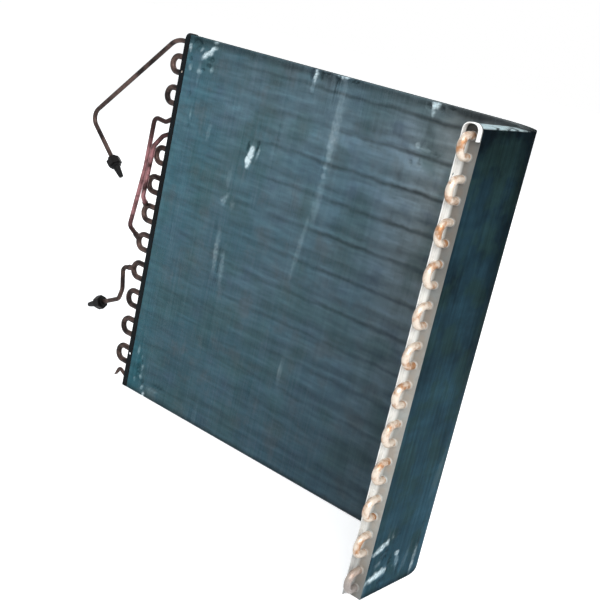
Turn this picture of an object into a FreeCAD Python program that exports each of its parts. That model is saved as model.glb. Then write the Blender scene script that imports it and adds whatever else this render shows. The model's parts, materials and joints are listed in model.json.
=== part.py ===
import FreeCAD, Part
import math
import os

# Condenser coil, millimetres, +Z up.
# One row of copper tubes runs through a stack of thin fins, and the finned slab is bent into an L.
# The long leg lies along +X, the short leg runs towards -Y, and the inside of the L faces -Y and -X.
# The origin is at the foot of the slab, on the plane of the tube centres, where the fins of the long leg begin.

# driving dimensions of the finned slab
tube_rows = 24
tube_pitch = 25.4
tube_diameter = 9.52
slab_depth = 22.0
long_leg_length = 651.0
short_leg_length = 195.0
bend_radius = 77.0
fin_pitch = 3.175
fin_thickness = 1.2
fin_web_cover = 1.4

# hairpin ends: the closed bends past the right end plate and the belled mouths past the left one
hairpin_stand_off = 9.0
bell_wall = 0.7
bell_taper = 2.5
bell_flare = 0.6
bell_reach = 15.0
socket_depth = 8.0
return_bend_reach = 49.0
upper_bend_reach = 44.0

# folded sheet end plates
plate_thickness = 1.2
plate_rise = 2.0
lip_depth = 10.5
lip_corner_radius = 9.0
outer_lip_drop = 20.0
fold_radius = 1.1
screw_hole_diameter = 4.2
screw_hole_margin = 60.0

# connecting pipes and their ports on the return bends
pipe_diameter = 7.94
stub_diameter = 6.35
port_wall = 1.0
port_reach = 12.5
port_depth = 5.0
outlet_port_angle = 0.0
outlet_port_direction = (-0.966, 0, -0.259)
jumper_port_angle = 8.0
jumper_port_direction = (-0.89, 0, 0.456)
bypass_port_angle = 45.0
bypass_port_direction = (0.2, -0.65, 0.733)

# corners of the pipes as steps away from the slab, towards the back and up, from where each pipe starts
inlet_steps = [(33, 0, 0), (209, 0, -167), (134, 0, -229)]
inlet_radii = [40, 19]
jumper_steps = [(11, 0, 0), (24, 0, -8), (51.5, 0, -6), (53, 0, -92)]
jumper_elbow_reach = 25.0
jumper_radii = [8, 10, 9, 60, 8.5]
bypass_steps = [(11, 0, 0), (22, -3, -6), (29, -13, -25)]
bypass_elbow_reach = 20.0
bypass_radii = [8, 8, 15, 12]
outlet_elbow_reach = 20.0
outlet_steps = [(11.5, 0, -43), (16.5, 0, -63), (58, 0, -84)]
outlet_radii = [9, 20, 12]
stub_steps = [(10, 0, 0), (27, 0, 8), (31, 0, 0)]
stub_radii = [8, 5]
pinch_taper = 3.5
pinch_length = 3.5
pinch_width = 8.6
pinch_thickness = 2.4

# flare nuts and their sealing plugs
nut_across_flats = 22.0
nut_hex_length = 12.0
nut_neck_diameter = 15.0
nut_neck_length = 5.0
nut_clearance = 0.15
flare_diameter = 11.0
flare_length = 2.0
plug_thread_diameter = 13.4
plug_head_diameter = 18.0
plug_head_length = 3.5
plug_nose_length = 22.0
plug_nose_diameter = 8.0

# sizes that follow from the driving ones
tube_radius = tube_diameter / 2
pipe_radius = pipe_diameter / 2
stub_radius = stub_diameter / 2
slab_height = tube_rows * tube_pitch
half_depth = slab_depth / 2
web_half = tube_radius + fin_web_cover
short_leg_plane = long_leg_length - half_depth
fin_end = -(short_leg_length - half_depth)
hairpin_tip = fin_end - plate_thickness - hairpin_stand_off - tube_pitch / 2
bell_mouth = -bell_reach
socket_floor = bell_mouth + socket_depth

# the circuit, with tubes counted from the bottom: neighbours are joined at the left end, but for one pair
stub_tube = 0
inlet_tube = tube_rows - 1
jumper_tube = tube_rows - 6
bypass_tube = jumper_tube - 1
returns = [low for low in range(1, inlet_tube, 2) if low != bypass_tube]
bypass_return = bypass_tube - 6
jumper_return = bypass_return - 2
outlet_return = jumper_return - 2


def point(x, y, z):
    return FreeCAD.Vector(x, y, z)


def tube_height(row):
    """Height of the centre of a tube above the foot of the slab."""
    return tube_pitch * (row + 0.5)


def rounded_path(corners, radii):
    """A wire of straight runs joined by tangent arcs; one radius for each inner corner."""
    edges = []
    start = corners[0]
    for before, corner, after, radius in zip(corners, corners[1:], corners[2:], radii):
        back = (before - corner).normalize()
        ahead = (after - corner).normalize()
        half_turn = (math.pi - back.getAngle(ahead)) / 2
        setback = radius * math.tan(half_turn)
        middle = corner + (back + ahead).normalize() * (radius / math.cos(half_turn) - radius)
        arc_start = corner + back * setback
        arc_end = corner + ahead * setback
        if (arc_start - start).Length > 0.001:
            edges.append(Part.makeLine(start, arc_start))
        edges.append(Part.Arc(arc_start, middle, arc_end).toShape())
        start = arc_end
    if (corners[-1] - start).Length > 0.001:
        edges.append(Part.makeLine(start, corners[-1]))
    return Part.Wire(edges)


def rod(corners, radii, radius):
    """A round bar swept along a rounded path."""
    path = rounded_path(corners, radii)
    section = Part.Wire(Part.makeCircle(radius, corners[0], corners[1] - corners[0]))
    return path.makePipeShell([section], True, False)


def turned(outline, origin, direction):
    """A solid of revolution: outline pairs are distance along the axis and radius."""
    wire = Part.makePolygon([point(radius, 0, along) for along, radius in outline + outline[:1]])
    solid = Part.Face(wire).revolve(point(0, 0, 0), point(0, 0, 1), 360)
    solid.Placement = FreeCAD.Placement(origin, FreeCAD.Rotation(point(0, 0, 1), direction))
    return solid


def straight_fins(start, along, outward, length):
    """Evenly spaced fin places along a straight stretch: centre, direction of the row, outward side."""
    count = round(length / fin_pitch)
    step = length / count
    return [(start + along * (step * (number + 0.5)), along, outward) for number in range(count)]


def bend_fins(centre, radius):
    """Fin places that fan round the quarter bend, from the long leg to the short one."""
    count = round(radius * math.pi / 2 / fin_pitch)
    places = []
    for number in range(count):
        angle = math.pi / 2 * (1 - (number + 0.5) / count)
        outward = point(math.cos(angle), math.sin(angle), 0)
        along = point(math.sin(angle), -math.cos(angle), 0)
        places.append((centre + outward * radius, along, outward))
    return places


def fin_side(places, side):
    """Outline of one toothed side of a stack: each fin stands out of the tube zone to the slab's face."""
    outline = []
    for centre, along, outward in places:
        for offset, reach in ((-0.5, web_half), (-0.5, half_depth), (0.5, half_depth), (0.5, web_half)):
            outline.append(centre + along * (offset * fin_thickness) + outward * (side * reach))
    return outline


def fin_stack(places, start, start_outward, end, end_outward, tubes):
    """A stack of fins as one toothed plan outline raised to the slab's height, bored for the tubes."""
    outer = [start + start_outward * web_half] + fin_side(places, 1) + [end + end_outward * web_half]
    inner = [start - start_outward * web_half] + fin_side(places, -1) + [end - end_outward * web_half]
    outline = outer + inner[::-1]
    plan = Part.Face(Part.makePolygon(outline + outline[:1]))
    return plan.extrude(point(0, 0, slab_height)).cut(Part.makeCompound(tubes))


def leg_bars(start, end):
    """Straight bars in every tube's place, used to bore the fins and the end plates."""
    bars = []
    for row in range(tube_rows):
        lift = point(0, 0, tube_height(row))
        bars.append(Part.makeCylinder(tube_radius, (end - start).Length, start + lift, end - start))
    return bars


def bend_bars(centre):
    """Quarter rings in every tube's place round the bend."""
    bars = []
    for row in range(tube_rows):
        place = point(centre.x, centre.y + bend_radius, tube_height(row))
        disc = Part.Face(Part.Wire(Part.makeCircle(tube_radius, place, point(1, 0, 0))))
        bars.append(disc.revolve(point(centre.x, centre.y, 0), point(0, 0, 1), -90))
    return bars


def fin_stacks():
    """The fins of the long leg, of the bend and of the short leg."""
    right, forward, back = point(1, 0, 0), point(0, -1, 0), point(0, 1, 0)
    begin = point(0, 0, 0)
    centre = point(short_leg_plane - bend_radius, -bend_radius, 0)
    bend_start = centre + back * bend_radius
    bend_end = centre + right * bend_radius
    finish = point(short_leg_plane, fin_end, 0)
    long_places = straight_fins(begin, right, back, (bend_start - begin).Length)
    short_places = straight_fins(bend_end, forward, right, (finish - bend_end).Length)
    return {
        "fins_long_leg": fin_stack(long_places, begin, back, bend_start, back, leg_bars(begin, bend_start)),
        "fins_bend": fin_stack(
            bend_fins(centre, bend_radius), bend_start, back, bend_end, right, bend_bars(centre)
        ),
        "fins_short_leg": fin_stack(short_places, bend_end, right, finish, right, leg_bars(bend_end, finish)),
    }


def bell(row):
    """The widened and flared mouth at a tube's open end, with the socket for a return bend or a pipe."""
    bell_radius = tube_radius + bell_wall
    outline = [
        (0, tube_radius),
        (0, bell_radius + bell_flare),
        (bell_flare, bell_radius),
        (socket_depth, bell_radius),
        (socket_depth + bell_taper, tube_radius),
        (socket_depth + bell_taper, 0),
        (socket_depth, 0),
        (socket_depth, tube_radius),
    ]
    return turned(outline, point(bell_mouth, 0, tube_height(row)), point(1, 0, 0))


def hairpin(number):
    """A long tube bent double: both legs go round the bend of the slab and out of the left end plate."""
    low, high = 2 * number, 2 * number + 1
    corners = [point(socket_floor, 0, tube_height(low))]
    corners.append(point(short_leg_plane, 0, tube_height(low)))
    corners.append(point(short_leg_plane, hairpin_tip, tube_height(low)))
    corners.append(point(short_leg_plane, hairpin_tip, tube_height(high)))
    corners.append(point(short_leg_plane, 0, tube_height(high)))
    corners.append(point(socket_floor, 0, tube_height(high)))
    radii = [bend_radius, tube_pitch / 2, tube_pitch / 2, bend_radius]
    return rod(corners, radii, tube_radius).fuse([bell(low), bell(high)]).removeSplitter()


def return_tip(low):
    """How far left the centreline of the return bend above a tube reaches; the uppermost bends are shorter."""
    reach = upper_bend_reach if low > bypass_return + 2 else return_bend_reach
    return tube_radius - reach


def return_place(low, angle):
    """A point on a return bend's centreline, at an angle above the line that points away from the slab."""
    radius = tube_pitch / 2
    turn = math.radians(angle)
    centre = point(return_tip(low) + radius, 0, tube_height(low) + radius)
    return centre + point(-radius * math.cos(turn), 0, radius * math.sin(turn))


def ports():
    """Where each branch meets its return bend, and the way the port points."""
    return {
        outlet_return: (return_place(outlet_return, outlet_port_angle), point(*outlet_port_direction)),
        jumper_return: (return_place(jumper_return, jumper_port_angle), point(*jumper_port_direction)),
        bypass_return: (return_place(bypass_return, bypass_port_angle), point(*bypass_port_direction)),
    }


def port_floor(low):
    """The floor of a port's socket, where its branch ends, and the way out of it."""
    place, direction = ports()[low]
    return place + direction * (port_reach - port_depth), direction


def return_bend(low):
    """A short bend brazed into two neighbouring sockets; a ported one also carries a branch."""
    tip = return_tip(low)
    corners = [point(socket_floor, 0, tube_height(low)), point(tip, 0, tube_height(low))]
    corners += [point(tip, 0, tube_height(low + 1)), point(socket_floor, 0, tube_height(low + 1))]
    bend = rod(corners, [tube_pitch / 2, tube_pitch / 2], tube_radius)
    if low not in ports():
        return bend
    place, direction = ports()[low]
    floor, direction = port_floor(low)
    sleeve = Part.makeCylinder(pipe_radius + port_wall, port_reach, place, direction)
    socket = Part.makeCylinder(pipe_radius, port_reach, floor, direction)
    return bend.fuse(sleeve).cut(socket).removeSplitter()


def end_plate():
    """A folded end plate: its back lies in the plane X = 0, Y runs across the slab, lips stand out to +X.

    The lip runs up one edge, over the rounded top and a short way down the other edge.
    """
    top = slab_height + plate_rise

    def arched(inset, low_edge):
        radius = lip_corner_radius - inset
        near, far, crown = inset, slab_depth - inset, top - inset
        slope = radius * math.sqrt(0.5)
        spring = crown - radius
        edges = [
            Part.makeLine(point(0, near, low_edge), point(0, near, spring)),
            Part.Arc(
                point(0, near, spring),
                point(0, near + radius - slope, spring + slope),
                point(0, near + radius, crown),
            ).toShape(),
            Part.makeLine(point(0, near + radius, crown), point(0, far - radius, crown)),
            Part.Arc(
                point(0, far - radius, crown),
                point(0, far - radius + slope, spring + slope),
                point(0, far, spring),
            ).toShape(),
            Part.makeLine(point(0, far, spring), point(0, far, low_edge)),
            Part.makeLine(point(0, far, low_edge), point(0, near, low_edge)),
        ]
        return Part.Face(Part.Wire(edges))

    tray = arched(0, 0).extrude(point(lip_depth, 0, 0))
    folds = [edge for edge in tray.Edges if is_fold(edge, top)]
    tray = tray.makeFillet(fold_radius, folds)
    hollow = arched(plate_thickness, -1).extrude(point(lip_depth, 0, 0))
    hollow.translate(point(plate_thickness, 0, 0))
    open_side = Part.makeBox(
        lip_depth, slab_depth / 2, top - outer_lip_drop + 1, point(plate_thickness, slab_depth / 2, -1)
    )
    plate = tray.cut(hollow).cut(open_side)
    plate = plate.cut(Part.makeCompound(plate_bars()))
    return plate.cut(Part.makeCompound(screw_bars())).removeSplitter()


def is_fold(edge, top):
    """True for the edges of the plate's back that a fold rounds: every one but the foot."""
    box = edge.BoundBox
    return box.XMax < 0.001 and box.ZMax > 0.001


def plate_bars():
    """Tube-sized bars across an end plate that is still in its own frame."""
    start = point(-1, half_depth, 0)
    return leg_bars(start, start + point(plate_thickness + 2, 0, 0))


def screw_bars():
    """Bars for the two screw holes in the full-height lip."""
    across = (plate_thickness + lip_depth) / 2
    bars = []
    for height in (screw_hole_margin, slab_height - screw_hole_margin):
        start = point(across, -1, height)
        bars.append(Part.makeCylinder(screw_hole_diameter / 2, plate_thickness + 2, start, point(0, 1, 0)))
    return bars


def end_plates():
    """The same folded plate at both ends of the slab, one the mirror image of the other."""
    left = end_plate().mirror(point(0, 0, 0), point(1, 0, 0))
    left.translate(point(0, -half_depth, 0))
    right = end_plate()
    right.rotate(point(0, 0, 0), point(0, 0, 1), -90)
    right.translate(point(short_leg_plane - half_depth, fin_end, 0))
    return {"left_end_plate": left, "right_end_plate": right}


def flare(end, direction):
    """The widened end of a pipe that the flare nut pulls against its plug."""
    outline = [(0, 0), (0, flare_diameter / 2), (-flare_length, pipe_radius), (-flare_length, 0)]
    return turned(outline, end, direction)


def flare_nut(end, direction):
    """A hexagon nut round a flared pipe end, with a round neck behind and a threaded mouth in front."""
    hole = pipe_radius + nut_clearance
    seat = flare_diameter / 2 + nut_clearance
    thread = plug_thread_diameter / 2
    corner = nut_across_flats / math.sqrt(3)
    back = -flare_length - nut_neck_length
    shoulder = -flare_length - 0.5
    front = shoulder + nut_hex_length
    chamfer = (corner - nut_across_flats / 2) / 2
    outline = [
        (back, hole),
        (back, nut_neck_diameter / 2),
        (shoulder, nut_neck_diameter / 2),
        (shoulder, nut_across_flats / 2),
        (shoulder + chamfer, corner),
        (front - chamfer, corner),
        (front, nut_across_flats / 2),
        (front, thread),
        (0, thread),
        (0, seat),
        (-flare_length, hole),
    ]
    body = turned(outline, end, direction)
    corners = []
    for number in range(7):
        angle = math.pi / 3 * number
        corners.append(point(corner * math.cos(angle), corner * math.sin(angle), back - 1))
    prism = Part.Face(Part.makePolygon(corners)).extrude(point(0, 0, front - back + 2))
    prism.Placement = FreeCAD.Placement(end, FreeCAD.Rotation(point(0, 0, 1), direction))
    return body.common(prism)


def sealing_plug(end, direction):
    """The plug that closes a flare nut until the line is fitted: thread, head and tapered nose."""
    front = nut_hex_length - flare_length - 0.5
    head = front + plug_head_length
    outline = [
        (0, 0),
        (0, plug_thread_diameter / 2),
        (front, plug_thread_diameter / 2),
        (front, plug_head_diameter / 2),
        (head, plug_head_diameter / 2),
        (head + 1.5, plug_nose_diameter / 2 + 2.5),
        (head + plug_nose_length - 1.0, plug_nose_diameter / 2),
        (head + plug_nose_length, plug_nose_diameter / 2 - 1.0),
        (head + plug_nose_length, 0),
    ]
    return turned(outline, end, direction)


def stepped(start, steps):
    """Corners at the given steps away from the slab, back and up, from a pipe's start."""
    return [start + point(-away, back, up) for away, back, up in steps]


def socket_centre(row):
    """The floor of a tube's socket, where a pipe starts."""
    return point(socket_floor, 0, tube_height(row))


def inlet_corners():
    """The long upper line: out of the top tube, down and away, then back towards the slab."""
    start = socket_centre(inlet_tube)
    return [start] + stepped(start, inlet_steps)


def outlet_corners():
    """The short lower line: an S out of its return bend."""
    start, direction = port_floor(outlet_return)
    return [start, start + direction * outlet_elbow_reach] + stepped(start, outlet_steps)


def loop_corners(row, steps, low, elbow_reach):
    """A loop from a tube's socket to the port of a return bend further down."""
    start = socket_centre(row)
    end, direction = port_floor(low)
    return [start] + stepped(start, steps) + [end + direction * elbow_reach, end]


def bushed(pipe, corners):
    """The pipe with the bush that fills the wider tube socket at its start."""
    bush = Part.makeCylinder(tube_radius, socket_depth, corners[0], corners[1] - corners[0])
    return pipe.fuse(bush).removeSplitter()


def flared(pipe, corners):
    """The pipe with the flare at its last corner."""
    return pipe.fuse(flare(corners[-1], end_direction(corners))).removeSplitter()


def pinched(pipe, corners, radius):
    """The pipe with its end pressed flat and closed: it tapers from round to a thin upright oval blade."""
    start = Part.Wire(Part.makeCircle(radius, point(0, 0, 0), point(0, 0, 1)))
    oval = Part.Ellipse(point(0, 0, pinch_taper), pinch_width / 2, pinch_thickness / 2)
    oval = Part.Wire(oval.toShape())
    blade = Part.Face(oval).extrude(point(0, 0, pinch_length))
    tip = Part.makeLoft([start, oval], True).fuse(blade)
    turn = FreeCAD.Rotation(point(0, 1, 0), point(0, 0, 0), end_direction(corners), "ZXY")
    tip.Placement = FreeCAD.Placement(corners[-1], turn)
    return pipe.fuse(tip).removeSplitter()


def end_direction(corners):
    """The way a pipe points at its last corner."""
    return (corners[-1] - corners[-2]).normalize()


def pipework():
    """The lines, loops and stub at the left end, with the nuts and plugs that close the two lines."""
    inlet = inlet_corners()
    outlet = outlet_corners()
    jumper = loop_corners(jumper_tube, jumper_steps, jumper_return, jumper_elbow_reach)
    bypass = loop_corners(bypass_tube, bypass_steps, bypass_return, bypass_elbow_reach)
    stub_start = socket_centre(stub_tube)
    stub = [stub_start] + stepped(stub_start, stub_steps)
    return {
        "inlet_pipe": flared(bushed(rod(inlet, inlet_radii, pipe_radius), inlet), inlet),
        "outlet_pipe": flared(rod(outlet, outlet_radii, pipe_radius), outlet),
        "jumper_pipe": bushed(rod(jumper, jumper_radii, pipe_radius), jumper),
        "bypass_pipe": bushed(rod(bypass, bypass_radii, pipe_radius), bypass),
        "charging_stub": pinched(bushed(rod(stub, stub_radii, stub_radius), stub), stub, stub_radius),
        "inlet_flare_nut": flare_nut(inlet[-1], end_direction(inlet)),
        "inlet_sealing_plug": sealing_plug(inlet[-1], end_direction(inlet)),
        "outlet_flare_nut": flare_nut(outlet[-1], end_direction(outlet)),
        "outlet_sealing_plug": sealing_plug(outlet[-1], end_direction(outlet)),
    }


def build():
    """Every separate piece of the coil by name."""
    parts = fin_stacks()
    parts.update(end_plates())
    for number in range(tube_rows // 2):
        parts["hairpin_%02d" % (number + 1)] = hairpin(number)
    for number, low in enumerate(returns):
        parts["return_bend_%02d" % (number + 1)] = return_bend(low)
    parts.update(pipework())
    return parts


os.makedirs("parts", exist_ok=True)
for name, shape in build().items():
    shape.exportStep("parts/" + name + ".step")
    print(name, shape.ShapeType, "solids", len(shape.Solids), "valid", shape.isValid(), "volume", round(shape.Volume))
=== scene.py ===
import json
import math

import bpy
import numpy as np
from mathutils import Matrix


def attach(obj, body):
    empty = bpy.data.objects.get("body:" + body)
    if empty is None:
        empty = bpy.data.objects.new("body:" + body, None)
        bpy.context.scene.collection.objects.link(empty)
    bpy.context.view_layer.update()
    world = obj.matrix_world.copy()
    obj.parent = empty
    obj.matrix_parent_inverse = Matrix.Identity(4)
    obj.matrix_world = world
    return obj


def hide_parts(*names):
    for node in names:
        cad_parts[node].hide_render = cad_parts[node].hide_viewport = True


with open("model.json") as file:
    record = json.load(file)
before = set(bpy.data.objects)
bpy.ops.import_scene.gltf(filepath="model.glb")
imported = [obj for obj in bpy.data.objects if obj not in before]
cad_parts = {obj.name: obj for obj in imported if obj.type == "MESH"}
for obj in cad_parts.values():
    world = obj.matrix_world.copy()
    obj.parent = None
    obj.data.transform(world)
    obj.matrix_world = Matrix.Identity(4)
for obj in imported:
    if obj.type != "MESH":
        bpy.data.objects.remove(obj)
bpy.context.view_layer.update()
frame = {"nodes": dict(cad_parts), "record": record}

MM = 0.001
rng = np.random.default_rng(24)

# the slab in millimetres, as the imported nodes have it: a long leg along X, a quarter bend and a short leg
# towards -Y
SLAB_HEIGHT = 609.6
HALF_DEPTH = 11.0
TUBE_PITCH = 25.4
TUBE_ROWS = 24
TUBE_RADIUS = 4.76
LEG_END = 563.0
BEND_RADIUS = 77.0
SHORT_LEG_X = LEG_END + BEND_RADIUS
SHORT_END = -184.0
BEND_LENGTH = BEND_RADIUS * math.pi / 2
SHORT_START = LEG_END + BEND_LENGTH
SHORT_LENGTH = -SHORT_END - BEND_RADIUS

# the end plates, and how far the bells of the hairpins stand out at the left
PLATE_THICKNESS = 1.2
BELL_REACH = 15.0
# tubes counted from the bottom: the lowest bell holds the stub, and three hold a thin pipe
STUB_TUBE = 0
THIN_PIPE_TUBES = (17, 18, 23)

UPWARD = np.array((0.0, 0.0, 1.0))
TUBE_HEIGHTS = (np.arange(TUBE_ROWS) + 0.5) * TUBE_PITCH

# the real fin is 0.11 mm thick; it is drawn thicker so that its cut edge shows
FIN_PITCH = 1.6
FIN_THICKNESS = 0.16
# rows of points up a straight fin, and up one that a mark bends
STRAIGHT_ROWS = 6
BENT_ROWS = 54
# the slab's two faces: the hollow side lies inward and the outer side outward
HOLLOW_SIDE, OUTER_SIDE = -1, 1
# the sleeves of the fins' collars stop this far inside both ends of the slab
SLEEVE_INSET = 0.5

# where fins are bent over, or dark with dirt and painted shade: distance along the slab, height, half-width,
# half-height, sideways lean of the mark for each step up, sideways push of the fin's edge, inward push, and
# wear, which is 1 for bare metal and -1 for black: dirt, and painted shade in the crushed fins' gaps
LONG_LEG_MARKS = [
    # the bright dent left of the middle, with the shadowed fins beside it
    (173, 459, 4.6, 14, 0.10, 2.8, 1.0, 1.3),
    (170, 449, 5.6, 9, 0.10, 2.4, 1.0, 1.2),
    (164, 470, 3.2, 8, 0.17, 0.3, 2.0, -0.9),
    (183, 473, 3.0, 9, 0.17, 0.3, 2.0, -0.9),
    (187, 464, 2.4, 9, 0.17, 0.8, 0.4, 0.30),
    # long faint scuffs, with small knocks, and dirt and painted shade beside them
    (320, 540, 8.5, 60, 0.00, 0.5, 0.1, 0.17),
    (319, 500, 5.0, 40, 0.00, 0.5, 0.1, 0.06),
    (317, 430, 7.0, 44, 0.05, 0.5, 0.1, 0.12),
    (302, 345, 4.5, 52, 0.10, 0.4, 0.1, 0.14),
    (318, 158, 4.0, 20, 0.00, 0.5, 0.2, 0.18),
    (142, 294, 4.6, 34, -0.05, 0.6, 0.2, 0.20),
    (151, 276, 2.6, 26, -0.05, 0.3, 1.2, -0.35),
    (160, 272, 4.4, 30, -0.05, 0.6, 0.2, 0.16),
    (138, 378, 6.0, 9, 0.50, 1.0, 0.4, 0.20),
    (156, 374, 5.0, 5, 0.00, 0.6, 0.4, 0.12),
    (30, 489, 2.6, 5, 0.00, 0.8, 0.3, 0.22),
    (31, 474, 3.0, 4, 0.00, 0.4, 1.4, -0.40),
    (77, 471, 4.0, 15, 0.10, 0.5, 0.2, 0.10),
    (139, 413, 4.0, 17, 0.00, 0.5, 0.2, 0.09),
    # the crushed corner at the top left
    (45, 588, 7.0, 9, 1.10, 2.4, 1.0, 0.9),
    (56, 598, 5.0, 5, 0.80, 2.2, 1.0, 0.5),
    (53, 580, 7.0, 4, 0.60, 0.4, 2.6, -0.75),
    (19, 600, 10.0, 8, 0.00, 0.4, 2.6, -0.85),
    (30, 592, 3.0, 4, 0.40, 1.0, 0.6, 0.35),
    (4, 591, 3.0, 6, 0.00, 1.0, 0.6, 0.6),
    (8, 573, 3.5, 5, 0.00, 0.4, 2.4, -0.6),
    (11, 561, 4.0, 6, 0.00, 1.0, 0.6, 0.25),
    (32, 559, 6.0, 5, 0.00, 1.0, 0.6, 0.28),
    (40, 562, 4.0, 3, 0.00, 0.4, 2.4, -0.6),
    (51, 570, 5.5, 4, 0.00, 0.4, 2.4, -0.7),
    (58, 565, 4.0, 5, 0.00, 1.0, 0.6, 0.25),
    (21, 522, 3.0, 4, 0.00, 0.4, 2.4, -0.45),
    (57, 608, 5.0, 3, 0.00, 1.4, 2.0, 0.6),
    # knocks along the top edge
    (256, 603, 3.4, 9, 0.00, 0.4, 2.6, -0.9),
    (266, 602, 3.2, 10, 0.00, 1.6, 0.4, 0.75),
    (275, 604, 3.4, 6, 0.00, 0.4, 2.6, -0.8),
    (264, 586, 4.5, 12, 0.15, 0.8, 0.2, 0.09),
    (284, 607, 14.0, 4, 0.00, 0.4, 1.6, -0.7),
    (316, 611, 11.0, 4, 0.00, 1.2, 0.6, 1.3),
    (306, 603, 5.0, 3, 0.00, 0.4, 2.4, -0.9),
    (336, 607, 12.0, 3, 0.00, 0.4, 2.0, -1.0),
    (476, 605, 6.4, 5, 0.00, 2.4, 0.8, 1.1),
    (474, 596, 3.2, 6, 0.00, 1.0, 0.3, 0.50),
    (465, 602, 4.5, 4, 0.00, 0.4, 2.4, -0.6),
    (487, 602, 4.0, 4, 0.00, 0.4, 2.4, -0.5),
    (500, 607, 6.0, 3, 0.00, 0.4, 2.0, -0.7),
    (463, 547, 4.0, 5, 0.00, 0.8, 0.4, 0.30),
    (476, 545, 9.0, 3, 0.00, 0.8, 0.4, 0.12),
    (457, 522, 3.0, 4, 0.00, 0.4, 2.0, -0.5),
    (470, 523, 3.6, 3, 0.00, 0.4, 2.0, -0.5),
    (494, 540, 7.0, 3, 0.00, 0.4, 1.6, -0.3),
    # scraped fins at the bottom left
    (24, 63, 2.6, 5, 0.30, 1.0, 0.4, 0.28),
    (31, 50, 3.2, 3, 0.00, 1.0, 0.5, 0.32),
    (21, 41, 2.6, 3, 0.00, 1.0, 0.4, 0.20),
    (29, 31, 3.6, 4, -0.40, 1.2, 0.5, 0.30),
    (36, 13, 3.2, 5, 0.30, 1.2, 0.5, 0.32),
    (16, 22, 2.6, 4, 0.00, 0.8, 0.4, 0.22),
    (27, 56, 3.4, 3, 0.00, 0.4, 1.6, -0.5),
    (24, 36, 3.0, 3, 0.00, 0.4, 1.6, -0.5),
    (34, 22, 5.0, 4, 0.00, 0.4, 1.6, -0.5),
    (15, 74, 3.0, 8, 0.00, 1.0, 0.4, 0.25),
    (20, 46, 4.0, 20, 0.10, 0.4, 2.0, -0.5),
    (74, 28, 16.0, 3, 0.00, 0.3, 1.0, -0.45),
    (62, 18, 14.0, 3, 0.00, 0.8, 0.4, 0.14),
    (42, 3, 3.0, 5, 0.00, 1.2, 2.0, 0.9),
]
BEND_MARKS = [
    # knocks at the foot of the bend, with dirt and painted shade
    (674, 150, 9.0, 30, -0.20, 0.6, 0.3, 0.03),
    (680, 34, 4.0, 14, -0.10, 1.2, 0.4, 0.22),
    (681, 16, 4.5, 8, 0.00, 1.6, 0.8, 0.40),
    (672, 60, 6.0, 20, 0.00, 0.4, 1.6, -0.35),
]
SHORT_LEG_MARKS = [
    # the crushed foot beside the right plate, with dirt and painted shade round it
    (771, 69, 10.5, 8, -1.55, 2.0, 0.6, 0.75),
    (768, 27, 18.0, 6.5, -2.10, 2.4, 0.8, 1.0),
    (729, 50, 4.5, 4, 0.00, 1.4, 0.6, 0.50),
    (725, 37, 5.0, 15, 0.30, 1.4, 0.4, 0.15),
    (768, 46, 6.0, 5, -0.80, 1.0, 0.4, 0.15),
    (704, 30, 5.0, 22, -0.30, 0.6, 0.3, 0.05),
    (791, 80, 4.0, 9, 0.00, 0.4, 2.6, -0.9),
    (758, 54, 9.0, 7, -0.60, 0.4, 2.6, -0.8),
    (790, 50, 5.0, 8, 0.00, 0.4, 2.6, -0.9),
    (750, 16, 8.0, 5, -0.80, 0.4, 2.0, -0.7),
    (741, 36, 5.0, 14, 0.00, 0.4, 2.0, -0.6),
    (716, 22, 5.0, 9, 0.20, 0.4, 2.0, -0.6),
    (735, 78, 6.0, 8, -0.50, 0.4, 1.6, -0.4),
    # knocks under the bright strip at the top, dark with dirt and painted shade
    (744, 603, 4.0, 3, 0.00, 0.4, 2.0, -0.8),
    (706, 603, 5.0, 3, 0.00, 0.4, 2.0, -0.8),
]


# helpers

def linear(colour):
    """The linear RGBA of an sRGB hex colour."""
    channels = [int(colour[i:i + 2], 16) / 255 for i in (1, 3, 5)]
    return [c / 12.92 if c <= 0.04045 else ((c + 0.055) / 1.055) ** 2.4 for c in channels] + [1.0]


def add(tree, kind, inputs=(), **settings):
    """Adds a shader node with its settings and links.

    The inputs are named, or listed in the order of the sockets. Each is a number, a vector, a hex colour,
    or the node or output that feeds it; a node gives its first output in use. So the list for a MapRange is
    its value, the two ends that the value runs between, and the results at these two ends.
    """
    made = tree.nodes.new("ShaderNode" + kind)
    for name, value in settings.items():
        setattr(made, name, value)
    for name, value in inputs.items() if isinstance(inputs, dict) else enumerate(inputs):
        socket = made.inputs[name]
        if isinstance(value, bpy.types.Node):
            value = next(output for output in value.outputs if output.enabled)
        if isinstance(value, bpy.types.NodeSocket):
            tree.links.new(value, socket)
        else:
            socket.default_value = linear(value) if isinstance(value, str) else value
    return made


def material(name):
    """An empty material and its node tree."""
    made = bpy.data.materials.new(name)
    made.use_nodes = True
    made.node_tree.nodes.clear()
    return made, made.node_tree


def per_metre(size):
    """How often a pattern of a size in millimetres repeats in a metre."""
    return 1 / (size * MM)


def mesh_piece(name, points, faces):
    """A piece from points in millimetres and four-cornered faces, riding on the coil."""
    mesh = bpy.data.meshes.new(name)
    mesh.vertices.add(len(points))
    mesh.vertices.foreach_set("co", (points * MM).astype(np.float32).ravel())
    mesh.loops.add(faces.size)
    mesh.loops.foreach_set("vertex_index", faces.astype(np.int32).ravel())
    mesh.polygons.add(len(faces))
    mesh.polygons.foreach_set("loop_start", np.arange(0, faces.size, 4, dtype=np.int32))
    mesh.update(calc_edges=True)
    mesh.validate()
    mesh.shade_flat()
    piece = bpy.data.objects.new(name, mesh)
    bpy.context.scene.collection.objects.link(piece)
    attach(piece, "root")
    return piece


# the fins, their marks and their collars

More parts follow.
